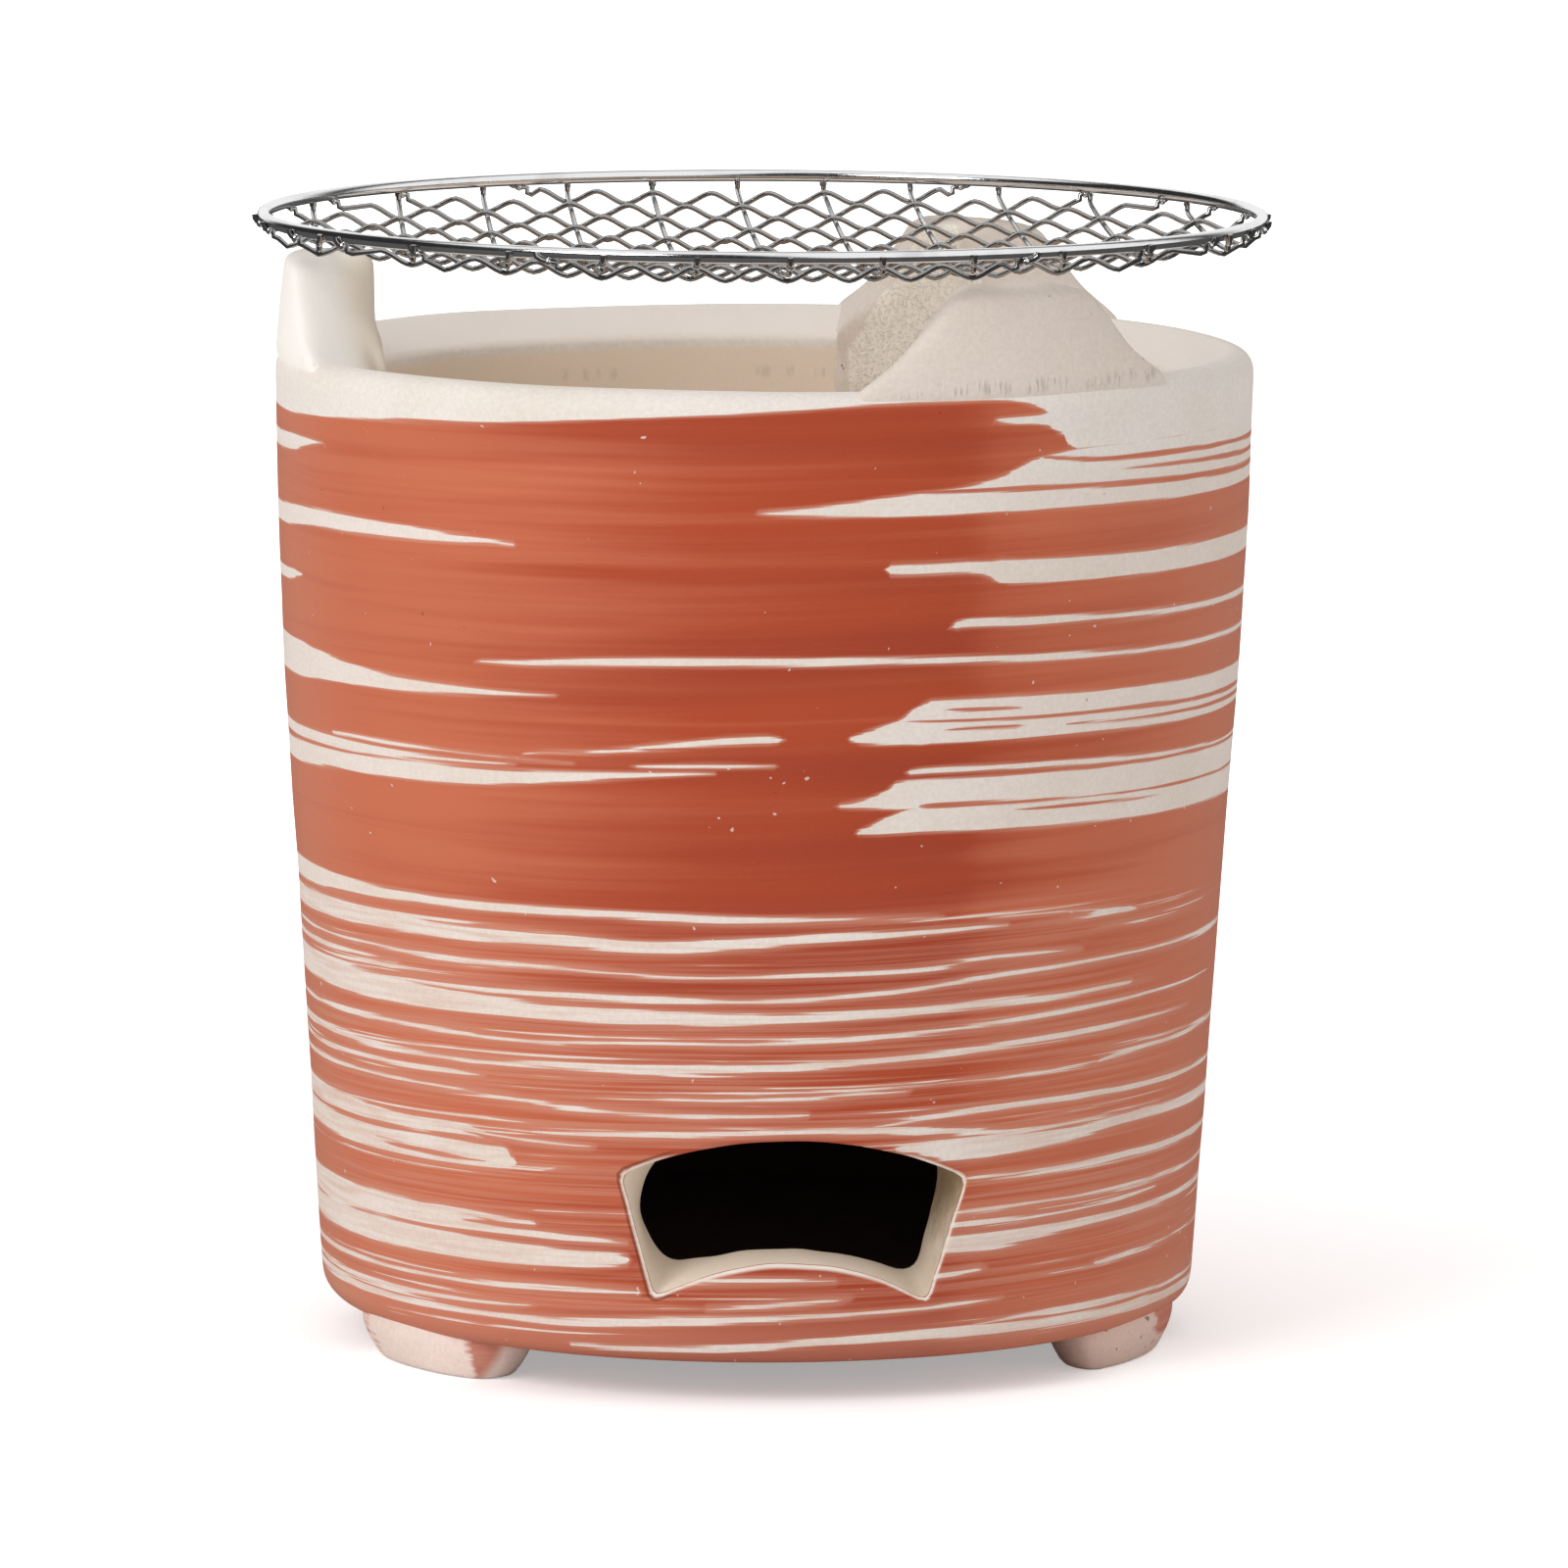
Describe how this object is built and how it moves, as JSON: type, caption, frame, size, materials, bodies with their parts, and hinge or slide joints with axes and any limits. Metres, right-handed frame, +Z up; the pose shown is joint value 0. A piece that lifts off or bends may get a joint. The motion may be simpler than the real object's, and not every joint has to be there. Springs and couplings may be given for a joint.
{
  "type": "clay charcoal stove",
  "caption": "Round clay charcoal stove with an arched air door, pot lugs, feet, a loose fire grate and a loose round wire net on top.",
  "frame": {"origin": "centre of the footprint, on the surface that the feet stand on", "axes": "+Z up along the stove's axis; the air door faces -Y"},
  "size_m": [0.24, 0.24, 0.2695],
  "materials": {
    "slipped_clay": "matte terracotta slip brushed round off-white clay",
    "white_clay": "bare off-white fired clay, matte, with small pits",
    "foot_clay": "bare off-white clay with smears of terracotta slip",
    "grate_clay": "coarse fired clay, greyed by ash",
    "ring_rod": "bright polished rod",
    "net_wire": "bright drawn wire"
  },
  "bodies": {
    "root": {"stove_body": "slipped_clay", "pot_lug_front": "white_clay", "pot_lug_back": "white_clay", "pot_lug_left": "white_clay", "foot_right": "foot_clay", "foot_back": "foot_clay", "foot_left": "foot_clay"},
    "grate": {"fire_grate": "grate_clay"},
    "net": {"net_ring": "ring_rod", "straight_wire_1": "net_wire", "straight_wire_2": "net_wire", "straight_wire_3": "net_wire", "straight_wire_4": "net_wire", "straight_wire_5": "net_wire", "straight_wire_6": "net_wire", "straight_wire_7": "net_wire", "straight_wire_8": "net_wire", "straight_wire_9": "net_wire", "straight_wire_10": "net_wire", "straight_wire_11": "net_wire", "crimped_wire_1": "net_wire", "crimped_wire_2": "net_wire", "crimped_wire_3": "net_wire", "crimped_wire_4": "net_wire", "crimped_wire_5": "net_wire", "crimped_wire_6": "net_wire", "crimped_wire_7": "net_wire", "crimped_wire_8": "net_wire", "crimped_wire_9": "net_wire", "crimped_wire_10": "net_wire", "crimped_wire_11": "net_wire"}
  },
  "joints": [
    {"name": "grate_lift", "type": "slide", "parent": "root", "child": "grate", "axis": [0, 0, 1], "range_m": [0, 0.13]},
    {"name": "net_lift", "type": "slide", "parent": "root", "child": "net", "axis": [0, 0, 1], "range_m": [0, 0.1]}
  ]
}
